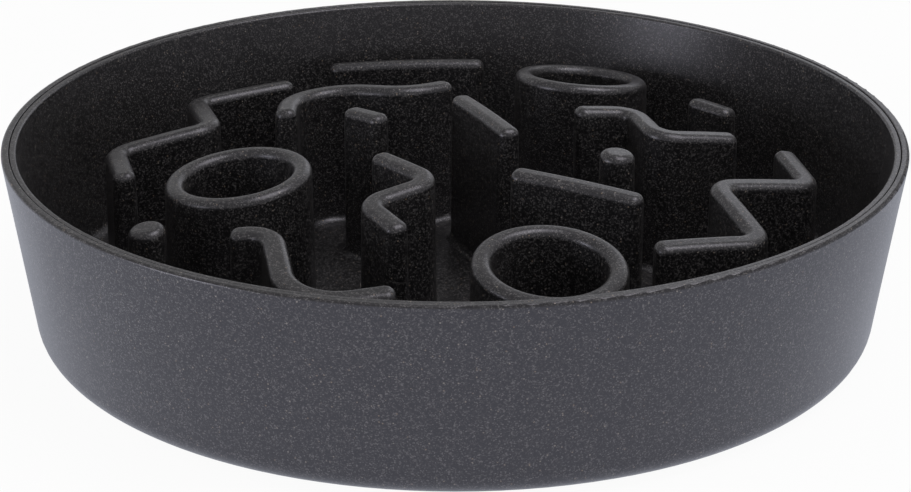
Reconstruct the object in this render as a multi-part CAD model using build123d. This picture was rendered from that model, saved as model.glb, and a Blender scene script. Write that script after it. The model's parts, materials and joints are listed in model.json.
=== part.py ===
from build123d import *
import math
import os

# Sizes are millimetres and angles are degrees.
# The bowl stands on the plane z = 0 with its axis on Z, and its front faces -Y.

# Overall bowl
RIM_DIAMETER = 250.2
BOWL_HEIGHT = 55.7
WALL_LEAN = 8.25
RIM_ROUND = 0.8
SEAM_ROUND = 0.3

# Outer shell
SHELL_WALL = 2.15
SHELL_BASE = 2.4
SHELL_CORNER = 7.0

# Maze tray, which drops into the shell and stands on a ring under its floor
TRAY_GAP = 0.15
TRAY_STEP = 0.2
TRAY_WALL = 1.8
TRAY_FLOOR = 2.4
TRAY_CORNER = 3.5
SUPPORT_HEIGHT = 2.2
SUPPORT_WIDTH = 2.4
SUPPORT_INSET = 12.0

# Rubber feet, set in round pockets under the shell
FOOT_COUNT = 4
FOOT_FIRST_ANGLE = 45.0
FOOT_DIAMETER = 14.0
FOOT_STAND = 0.8
FOOT_POCKET = 1.0
FOOT_GAP = 0.2
FOOT_INSET = 22.0
FOOT_ROUND = 0.4

# Maze obstacles: their tops lie on one shallow dome, highest at the bowl's axis
CROWN_DROP = 2.1
CROWN_RADIUS = 505.0
OBSTACLE_WALL = 6.2
OBSTACLE_DRAFT = 0.7
TOP_ROUND = 2.3
END_EASE = 0.3
ROOT_FLARE = 2.4
ROOT_SINK = 0.1
CORNER_EASE = 0.2
RING_DIAMETER = 40.1
RING_WALL = 5.1
POST_DIAMETER = 9.7

# Plan of the maze, centrelines and round bends, in percent of the floor's radius
RING_PLACES = {
    "ring_tower_left": (-51.8, -16.6),
    "ring_tower_back": (33.8, 67.6),
    "ring_tower_front": (21.1, -66.5),
}
POST_PLACES = {
    "post_left": (-71.2, -41.1),
    "post_right": (39.3, -6.1),
}
SLAB_PLACES = {
    "back_slab": [(-34.7, 86.1), (7.8, 86.7)],
    "short_slab_centre": [(-27.1, 26.0), (-17.9, 16.7)],
    "short_slab_right": [(62.3, 51.7), (72.3, 42.7)],
    "long_slab_centre": [(1.0, 36.0), (13.9, 4.8)],
    "long_slab_front": [(13.5, -20.8), (43.9, -32.4)],
}
STEP_PLACES = {
    "stair_wall_left": [(-43.5, 62.5), (-68.6, 52.1), (-61.7, 23.5), (-85.4, 14.0), (-80.1, -8.0)],
    "stair_wall_right": [(81.9, 12.9), (86.1, -8.8), (62.1, -18.6), (70.6, -46.2), (45.2, -55.7)],
    "step_wall_right": [(30.5, 27.0), (45.4, 31.2), (50.6, 11.3), (70.6, 18.6)],
    "zigzag_wall_centre": [(-18.9, -10.0), (-4.9, -26.0), (-20.7, -37.7), (-12.3, -51.9)],
}
WAVE_PLACES = {
    "wave_wall_back": [(-43.2, 26.5), (-42.8, 55.4), (-12.4, 43.6), (-1.5, 51.4)],
    "wave_wall_front": [(-51.4, -48.5), (-41.9, -48.8), (-36.0, -82.1), (-12.8, -78.0)],
}
WAVE_BENDS = {
    "wave_wall_back": [14.0, 12.3],
    "wave_wall_front": [7.5, 14.3],
}

# Heights and radii that follow from the sizes
LEAN = math.tan(math.radians(WALL_LEAN))
SHELL_FLOOR_Z = FOOT_STAND + SHELL_BASE
TRAY_UNDERSIDE_Z = SHELL_FLOOR_Z + SUPPORT_HEIGHT
FLOOR_Z = TRAY_UNDERSIDE_Z + TRAY_FLOOR
TRAY_TOP_Z = BOWL_HEIGHT - TRAY_STEP
CROWN_Z = BOWL_HEIGHT - CROWN_DROP
ROOT_Z = FLOOR_Z - ROOT_SINK
OBSTACLE_HEIGHT = CROWN_Z - ROOT_Z
SPREAD = OBSTACLE_HEIGHT * math.tan(math.radians(OBSTACLE_DRAFT))
ROOT_HALF_WALL = OBSTACLE_WALL / 2 + SPREAD
END_ROUND = TOP_ROUND + END_EASE
STEP_BEND = ROOT_HALF_WALL + ROOT_FLARE + CORNER_EASE


def shell_outside(z):
    """Radius of the shell's outside at height z."""
    return RIM_DIAMETER / 2 - (BOWL_HEIGHT - z) * LEAN


def shell_inside(z):
    return shell_outside(z) - SHELL_WALL


def tray_outside(z):
    return shell_inside(z) - TRAY_GAP


def tray_inside(z):
    return tray_outside(z) - TRAY_WALL


def turned(points, rounds):
    """Solid turned about Z from a half section of (radius, height) points.

    A round of zero leaves its corner sharp."""
    section = make_face(Polyline(*points, close=True))
    for point, radius in zip(points, rounds):
        if radius > 0:
            corner = section.vertices().sort_by_distance((*point, 0))[0]
            section = fillet(corner, radius)
    return revolve(Plane.XZ * section, Axis.Z)


def foot_spots():
    """Centres of the feet, evenly round the flat of the base."""
    reach = shell_outside(FOOT_STAND) - FOOT_INSET
    spots = []
    for number in range(FOOT_COUNT):
        angle = math.radians(FOOT_FIRST_ANGLE + number * 360 / FOOT_COUNT)
        spots.append((reach * math.cos(angle), reach * math.sin(angle)))
    return spots


def outer_shell():
    """Tapered casing with a flat base and a pocket for each foot."""
    points = [
        (0, FOOT_STAND),
        (shell_outside(FOOT_STAND), FOOT_STAND),
        (shell_outside(BOWL_HEIGHT), BOWL_HEIGHT),
        (shell_inside(BOWL_HEIGHT), BOWL_HEIGHT),
        (shell_inside(SHELL_FLOOR_Z), SHELL_FLOOR_Z),
        (0, SHELL_FLOOR_Z),
    ]
    rounds = [0, SHELL_CORNER, RIM_ROUND, SEAM_ROUND, SHELL_CORNER - SHELL_WALL, 0]
    shell = turned(points, rounds)
    pocket = Cylinder(FOOT_DIAMETER / 2 + FOOT_GAP, FOOT_POCKET, align=(Align.CENTER, Align.CENTER, Align.MIN))
    for x, y in foot_spots():
        shell -= Pos(x, y, FOOT_STAND) * pocket
    return shell


def foot(x, y):
    """Rubber disc with a rounded lower edge, stuck in its pocket."""
    disc = Cylinder(FOOT_DIAMETER / 2, FOOT_STAND + FOOT_POCKET, align=(Align.CENTER, Align.CENTER, Align.MIN))
    lower_edge = disc.edges().filter_by(GeomType.CIRCLE).sort_by(Axis.Z)[0]
    return Pos(x, y, 0) * fillet(lower_edge, FOOT_ROUND)


def maze_tray():
    """Inner wall and floor in one, with the ring that it stands on."""
    support_outside = tray_outside(TRAY_UNDERSIDE_Z) - SUPPORT_INSET
    support_inside = support_outside - SUPPORT_WIDTH
    points = [
        (0, TRAY_UNDERSIDE_Z),
        (support_inside, TRAY_UNDERSIDE_Z),
        (support_inside, SHELL_FLOOR_Z),
        (support_outside, SHELL_FLOOR_Z),
        (support_outside, TRAY_UNDERSIDE_Z),
        (tray_outside(TRAY_UNDERSIDE_Z), TRAY_UNDERSIDE_Z),
        (tray_outside(TRAY_TOP_Z), TRAY_TOP_Z),
        (tray_inside(TRAY_TOP_Z), TRAY_TOP_Z),
        (tray_inside(FLOOR_Z), FLOOR_Z),
        (0, FLOOR_Z),
    ]
    rounds = [0, 0, 0, 0, 0, TRAY_CORNER + TRAY_FLOOR, SEAM_ROUND, RIM_ROUND, TRAY_CORNER, 0]
    return turned(points, rounds)


PERCENT = tray_inside(FLOOR_Z) / 100


def placed(share):
    """Plan point in millimetres from its share of the floor's radius."""
    return Vector(share[0] * PERCENT, share[1] * PERCENT)


def wall_outline(points, bends, half_width, end_round):
    """Outline of a wall of even width along a bent centreline, with rounded ends."""
    left, right = [], []
    left_rounds, right_rounds = [], []
    last = len(points) - 1
    for number, point in enumerate(points):
        ahead = (points[min(number + 1, last)] - points[min(number, last - 1)]).normalized()
        behind = (points[max(number, 1)] - points[max(number - 1, 0)]).normalized()
        middle = (ahead + behind).normalized()
        side = Vector(-middle.Y, middle.X)
        reach = half_width / middle.dot(ahead)
        left.append(point + side * reach)
        right.append(point - side * reach)
        if number in (0, last):
            left_rounds.append(end_round)
            right_rounds.append(end_round)
        else:
            turns_left = behind.cross(ahead).Z > 0
            bend = bends[number - 1]
            left_rounds.append(bend - half_width if turns_left else bend + half_width)
            right_rounds.append(bend + half_width if turns_left else bend - half_width)
    corners = right + left[::-1]
    rounds = right_rounds + left_rounds[::-1]
    return make_face(FilletPolyline(*corners, radius=rounds, close=True))


def domed(blank):
    """Blank cut to the dome, whose seam is turned to its underside, clear of the maze."""
    return blank & Pos(0, 0, CROWN_Z - CROWN_RADIUS) * Rot(0, 90, 0) * Sphere(CROWN_RADIUS)


def obstacle(body):
    """Finish a domed body: round its top and flare its foot into the floor."""
    crown = body.faces().filter_by(GeomType.SPHERE)[0]
    rounded = fillet(crown.edges(), TOP_ROUND)
    plate = Cylinder(tray_inside(FLOOR_Z), TRAY_FLOOR, align=(Align.CENTER, Align.CENTER, Align.MAX))
    rooted = rounded + Pos(0, 0, ROOT_Z) * plate
    root_edges = rooted.edges().filter_by_position(Axis.Z, ROOT_Z, ROOT_Z).sort_by(SortBy.LENGTH)[:-1]
    rooted = fillet(root_edges, ROOT_FLARE)
    return split(rooted, Plane.XY.offset(FLOOR_Z), keep=Keep.TOP)


def drafted_round(radius, spread):
    """Round blank whose radius changes by the draft's spread towards its root."""
    return Cone(radius + spread, radius, OBSTACLE_HEIGHT, align=(Align.CENTER, Align.CENTER, Align.MIN))


def ring_tower(share):
    spot = placed(share)
    root = Pos(spot.X, spot.Y, ROOT_Z)
    outside = domed(root * drafted_round(RING_DIAMETER / 2, SPREAD))
    bore = root * drafted_round(RING_DIAMETER / 2 - RING_WALL, -SPREAD)
    return obstacle(outside - bore)


def post(share):
    spot = placed(share)
    return obstacle(domed(Pos(spot.X, spot.Y, ROOT_Z) * drafted_round(POST_DIAMETER / 2, SPREAD)))


def wall(shares, bends):
    """Drafted wall along a centreline of plan points, with a bend at each inner point."""
    points = [placed(share) for share in shares]
    root = wall_outline(points, bends, ROOT_HALF_WALL, END_ROUND + SPREAD)
    top = wall_outline(points, bends, OBSTACLE_WALL / 2, END_ROUND)
    return obstacle(domed(loft([Pos(0, 0, ROOT_Z) * root, Pos(0, 0, CROWN_Z) * top], ruled=True)))


def pieces():
    """Every piece of the bowl by its name."""
    made = {"outer_shell": outer_shell(), "maze_tray": maze_tray()}
    for number, (x, y) in enumerate(foot_spots(), start=1):
        made[f"foot_{number}"] = foot(x, y)
    for name, share in RING_PLACES.items():
        made[name] = ring_tower(share)
    for name, share in POST_PLACES.items():
        made[name] = post(share)
    for name, shares in SLAB_PLACES.items():
        made[name] = wall(shares, [])
    for name, shares in STEP_PLACES.items():
        made[name] = wall(shares, [STEP_BEND] * (len(shares) - 2))
    for name, shares in WAVE_PLACES.items():
        made[name] = wall(shares, [bend * PERCENT for bend in WAVE_BENDS[name]])
    return made


os.makedirs("parts", exist_ok=True)
for name, piece in pieces().items():
    export_step(piece, f"parts/{name}.step")
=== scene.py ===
import json
import math

import bpy
from mathutils import Matrix, Vector

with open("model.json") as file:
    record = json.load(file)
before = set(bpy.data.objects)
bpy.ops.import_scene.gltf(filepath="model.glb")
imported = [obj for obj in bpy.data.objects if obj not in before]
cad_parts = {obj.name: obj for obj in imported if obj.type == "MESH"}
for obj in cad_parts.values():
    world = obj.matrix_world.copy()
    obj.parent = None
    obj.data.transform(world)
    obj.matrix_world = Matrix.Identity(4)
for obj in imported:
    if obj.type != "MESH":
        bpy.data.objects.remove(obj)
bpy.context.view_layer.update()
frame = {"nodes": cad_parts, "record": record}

# Camera, in metres and degrees
CAMERA_PLACE = (0.00015, -0.6880, 0.2991)
CAMERA_PITCH = 22.05
CAMERA_ROLL = 0.113
CAMERA_LENS = 103.48
FILM_WIDTH = 36.0
LEVEL_LOOK = 90.0

# Colours of the light
WHITE = (1.0, 1.0, 1.0, 1.0)
COOL_WHITE = (0.90, 0.92, 1.0)
SOFT_WHITE = (0.98, 0.97, 1.0)

# Floor: its paint, and the share and the tint of the white that it shows
FLOOR_REACH = 3.0
FLOOR_COLOUR = (0.9, 0.9, 0.9, 1.0)
FLOOR_WHITENESS = 0.95
FLOOR_MIRRORED = (0.85, 0.885, 1.0, 1.0)
FLOOR_GLOW = 1.0

# Surroundings: a pale horizon, a dimmer ceiling above it and a white backdrop
HORIZON_COLOUR = (0.95, 0.96, 1.0, 1.0)
HORIZON_LIGHT = 0.75
HORIZON_UP_TO = 0.0
CEILING_FROM = 0.35
CEILING_LIGHT = 0.42
BACKDROP_LIGHT = 1.0

# Softboxes: place, size in metres, power in watts and colour, each aimed at the bowl
SOFTBOX_AIM = (0.0, 0.0, 0.03)
SOFTBOXES = {
    "left_softbox": ((-0.98, -0.50, 0.15), 0.40, 2.9, COOL_WHITE),
    "back_softbox": ((0.40, 1.10, 0.50), 0.60, 0.6, COOL_WHITE),
    "top_softbox": ((0.40, -0.14, 1.00), 0.70, 4.2, SOFT_WHITE),
}

# Relief of both finishes, with its depth in metres, and the middle of a noise
RELIEF_STRENGTH = 0.12
RELIEF_DEPTH = 0.00006
NOISE_MIDDLE = 0.5

# Speckled composite: ground, dense grit and sparse flecks, with cells per metre
COMPOSITE_DARK = (0.0040, 0.0038, 0.0040, 1.0)
COMPOSITE_LIGHT = (0.0065, 0.0060, 0.0063, 1.0)
GRIT_GREY = (0.128, 0.121, 0.120, 1.0)
GRIT_CELLS = 3100.0
FLECK_CREAM = (0.25, 0.225, 0.20, 1.0)
FLECK_TAN = (0.17, 0.122, 0.084, 1.0)
FLECK_CELLS = 1150.0
FLECK_SHARE = 0.07
FLECK_REACH = 0.25
CLOUD_SCALE = 34.0
CLOUD_DETAIL = 3.0
GRAIN_SCALE = 1900.0
GRAIN_DETAIL = 2.0
COMPOSITE_ROUGHNESS = 0.34
ROUGHNESS_SPREAD = 0.10
COMPOSITE_IOR = 1.68
COMPOSITE_SHEEN = (0.96, 0.93, 1.0, 1.0)

# Foot rubber
RUBBER_DARK = (0.011, 0.011, 0.012, 1.0)
RUBBER_LIGHT = (0.022, 0.022, 0.022, 1.0)
RUBBER_SCALE = 700.0
RUBBER_DETAIL = 4.0
RUBBER_ROUGHNESS = 0.78
RUBBER_SPREAD = 0.12
RUBBER_IOR = 1.5


class Amount:
    """A number that varies over a surface; arithmetic on it adds Math nodes."""

    def __init__(self, finish, socket):
        self.finish = finish
        self.socket = socket

    def joined(self, operation, first, second):
        made = self.finish.node("ShaderNodeMath", {"operation": operation}, {0: first, 1: second})
        return Amount(self.finish, made.outputs[0])

    def __add__(self, other):
        return self.joined("ADD", self, other)

    def __radd__(self, other):
        return self.joined("ADD", other, self)

    def __sub__(self, other):
        return self.joined("SUBTRACT", self, other)

    def __rsub__(self, other):
        return self.joined("SUBTRACT", other, self)

    def __mul__(self, other):
        return self.joined("MULTIPLY", self, other)

    def __rmul__(self, other):
        return self.joined("MULTIPLY", other, self)

    def __lt__(self, other):
        return self.joined("LESS_THAN", self, other)


class Finish:
    """Node tree of a material or of the world."""

    def __init__(self, owner):
        owner.use_nodes = True
        self.tree = owner.node_tree
        self.tree.nodes.clear()

    def node(self, kind, settings, sockets):
        """Add a node, with its settings first and then its sockets' values or links."""
        made = self.tree.nodes.new(kind)
        for name, value in settings.items():
            setattr(made, name, value)
        for key, value in sockets.items():
            socket = made.inputs[key]
            if isinstance(value, Amount):
                value = value.socket
            if isinstance(value, bpy.types.NodeSocket):
                self.tree.links.new(value, socket)
            else:
                socket.default_value = value
        return made

    def amount(self, made, output):
        return Amount(self, made.outputs[output])

    def place(self):
        """Point on the object, in metres."""
        return self.node("ShaderNodeTexCoord", {}, {}).outputs["Object"]

    def noise(self, scale, detail):
        sockets = {"Vector": self.place(), "Scale": scale, "Detail": detail}
        return self.amount(self.node("ShaderNodeTexNoise", {}, sockets), "Fac")

    def cells(self, scale):
        """Small cells: two numbers of each one's own and the distance from its middle."""
        made = self.node("ShaderNodeTexVoronoi", {}, {"Vector": self.place(), "Scale": scale})
        split = self.node("ShaderNodeSeparateColor", {}, {"Color": made.outputs["Color"]})
        return self.amount(split, "Red"), self.amount(split, "Green"), self.amount(made, "Distance")

    def blend(self, share, first, second):
        """Colour between two others."""
        sockets = {"Factor": share, 6: first, 7: second}
        return self.node("ShaderNodeMix", {"data_type": "RGBA"}, sockets).outputs[2]

    def mixed(self, share, first, second):
        """Shader between two others."""
        sockets = {0: share, 1: first.outputs[0], 2: second.outputs[0]}
        return self.node("ShaderNodeMixShader", {}, sockets)

    def background(self, colour, strength):
        return self.node("ShaderNodeBackground", {}, {"Color": colour, "Strength": strength})

    def relief(self, height):
        """Normal of a faint relief."""
        sockets = {"Strength": RELIEF_STRENGTH, "Distance": RELIEF_DEPTH, "Height": height}
        return self.node("ShaderNodeBump", {}, sockets).outputs[0]

    def surface(self, colour, roughness, normal, ior, tint):
        """Dielectric surface with these inputs, wired to the output."""
        sockets = {
            "Base Color": colour,
            "Roughness": roughness,
            "Normal": normal,
            "IOR": ior,
            "Specular Tint": tint,
        }
        shader = self.node("ShaderNodeBsdfPrincipled", {}, sockets)
        self.node("ShaderNodeOutputMaterial", {}, {"Surface": shader.outputs[0]})


def speckled_composite():
    """Dark moulded composite with dense grey grit, cream and tan flecks and a faint grain."""
    material = bpy.data.materials.new("speckled_composite")
    finish = Finish(material)
    cloud = finish.noise(CLOUD_SCALE, CLOUD_DETAIL)
    grain = finish.noise(GRAIN_SCALE, GRAIN_DETAIL)
    ground = finish.blend(cloud, COMPOSITE_DARK, COMPOSITE_LIGHT)
    shade = finish.cells(GRIT_CELLS)[0]
    sparse = shade * shade
    gritty = finish.blend(sparse * sparse * shade, ground, GRIT_GREY)
    pick, tone, reach = finish.cells(FLECK_CELLS)
    fleck = (pick < FLECK_SHARE) * (reach < FLECK_REACH)
    colour = finish.blend(fleck, gritty, finish.blend(tone, FLECK_TAN, FLECK_CREAM))
    roughness = COMPOSITE_ROUGHNESS + (cloud - NOISE_MIDDLE) * ROUGHNESS_SPREAD
    finish.surface(colour, roughness, finish.relief(grain), COMPOSITE_IOR, COMPOSITE_SHEEN)
    return material


def foot_rubber():
    """Matte black rubber with a fine cast texture."""
    material = bpy.data.materials.new("foot_rubber")
    finish = Finish(material)
    cast = finish.noise(RUBBER_SCALE, RUBBER_DETAIL)
    colour = finish.blend(cast, RUBBER_DARK, RUBBER_LIGHT)
    roughness = RUBBER_ROUGHNESS + (cast - NOISE_MIDDLE) * RUBBER_SPREAD
    finish.surface(colour, roughness, finish.relief(cast), RUBBER_IOR, WHITE)
    return material


def dress_solids():
    """Give each solid the finish of its material slot."""
    finishes = {"speckled_composite": speckled_composite(), "foot_rubber": foot_rubber()}
    for part in frame["record"]["subparts"]:
        solid = frame["nodes"][part["node"]]
        for slot in solid.material_slots:
            slot.material = finishes[part["material_slot"]]


def white_floor():
    """Pale floor that shows near white, cool where it is mirrored, and keeps the bowl's shadow."""
    bpy.ops.mesh.primitive_plane_add(size=2 * FLOOR_REACH)
    floor = bpy.context.object
    floor.name = "floor"
    material = bpy.data.materials.new("pale_floor")
    finish = Finish(material)
    rays = finish.node("ShaderNodeLightPath", {}, {})
    direct = finish.amount(rays, "Is Camera Ray")
    glossy = finish.amount(rays, "Is Glossy Ray")
    through = finish.amount(rays, "Is Transmission Ray")
    paint = finish.node("ShaderNodeBsdfDiffuse", {}, {"Color": FLOOR_COLOUR})
    tint = finish.blend(glossy, WHITE, FLOOR_MIRRORED)
    glow = finish.node("ShaderNodeEmission", {}, {"Color": tint, "Strength": FLOOR_GLOW})
    share = (1 - (1 - direct) * (1 - glossy) * (1 - through)) * FLOOR_WHITENESS
    shown = finish.mixed(share, paint, glow)
    finish.node("ShaderNodeOutputMaterial", {}, {"Surface": shown.outputs[0]})
    floor.data.materials.append(material)


def room_light():
    """Surroundings, pale round the bowl and dimmer above, that the camera sees as white."""
    world = bpy.data.worlds.new("studio")
    bpy.context.scene.world = world
    finish = Finish(world)
    look = finish.node("ShaderNodeTexCoord", {}, {}).outputs["Generated"]
    height = finish.node("ShaderNodeSeparateXYZ", {}, {"Vector": look}).outputs["Z"]
    rise = {"Value": height, "From Min": HORIZON_UP_TO, "From Max": CEILING_FROM}
    share = finish.node("ShaderNodeMapRange", {"interpolation_type": "SMOOTHSTEP"}, rise)
    horizon = finish.background(HORIZON_COLOUR, HORIZON_LIGHT)
    ceiling = finish.background(WHITE, CEILING_LIGHT)
    room = finish.mixed(share.outputs["Result"], horizon, ceiling)
    rays = finish.node("ShaderNodeLightPath", {}, {})
    backdrop = finish.background(WHITE, BACKDROP_LIGHT)
    shown = finish.mixed(rays.outputs["Is Camera Ray"], room, backdrop)
    finish.node("ShaderNodeOutputWorld", {}, {"Surface": shown.outputs[0]})


def softbox(name, place, size, power, colour):
    """Square lamp that faces the bowl."""
    lamp = bpy.data.lights.new(name, "AREA")
    lamp.size = size
    lamp.energy = power
    lamp.color = colour
    holder = bpy.data.objects.new(name, lamp)
    aim = Vector(SOFTBOX_AIM) - Vector(place)
    holder.location = place
    holder.rotation_euler = aim.to_track_quat("-Z", "Y").to_euler()
    bpy.context.scene.collection.objects.link(holder)


def front_camera():
    """Camera in front of the bowl, looking down into it."""
    lens = bpy.data.cameras.new("camera")
    lens.lens = CAMERA_LENS
    lens.sensor_width = FILM_WIDTH
    holder = bpy.data.objects.new("camera", lens)
    tilt = Matrix.Rotation(math.radians(LEVEL_LOOK - CAMERA_PITCH), 4, "X")
    roll = Matrix.Rotation(math.radians(CAMERA_ROLL), 4, "Z")
    holder.matrix_world = Matrix.Translation(CAMERA_PLACE) @ tilt @ roll
    bpy.context.scene.collection.objects.link(holder)
    bpy.context.scene.camera = holder


dress_solids()
white_floor()
room_light()
for name, (place, size, power, colour) in SOFTBOXES.items():
    softbox(name, place, size, power, colour)
front_camera()
bpy.context.scene.view_settings.view_transform = "Standard"
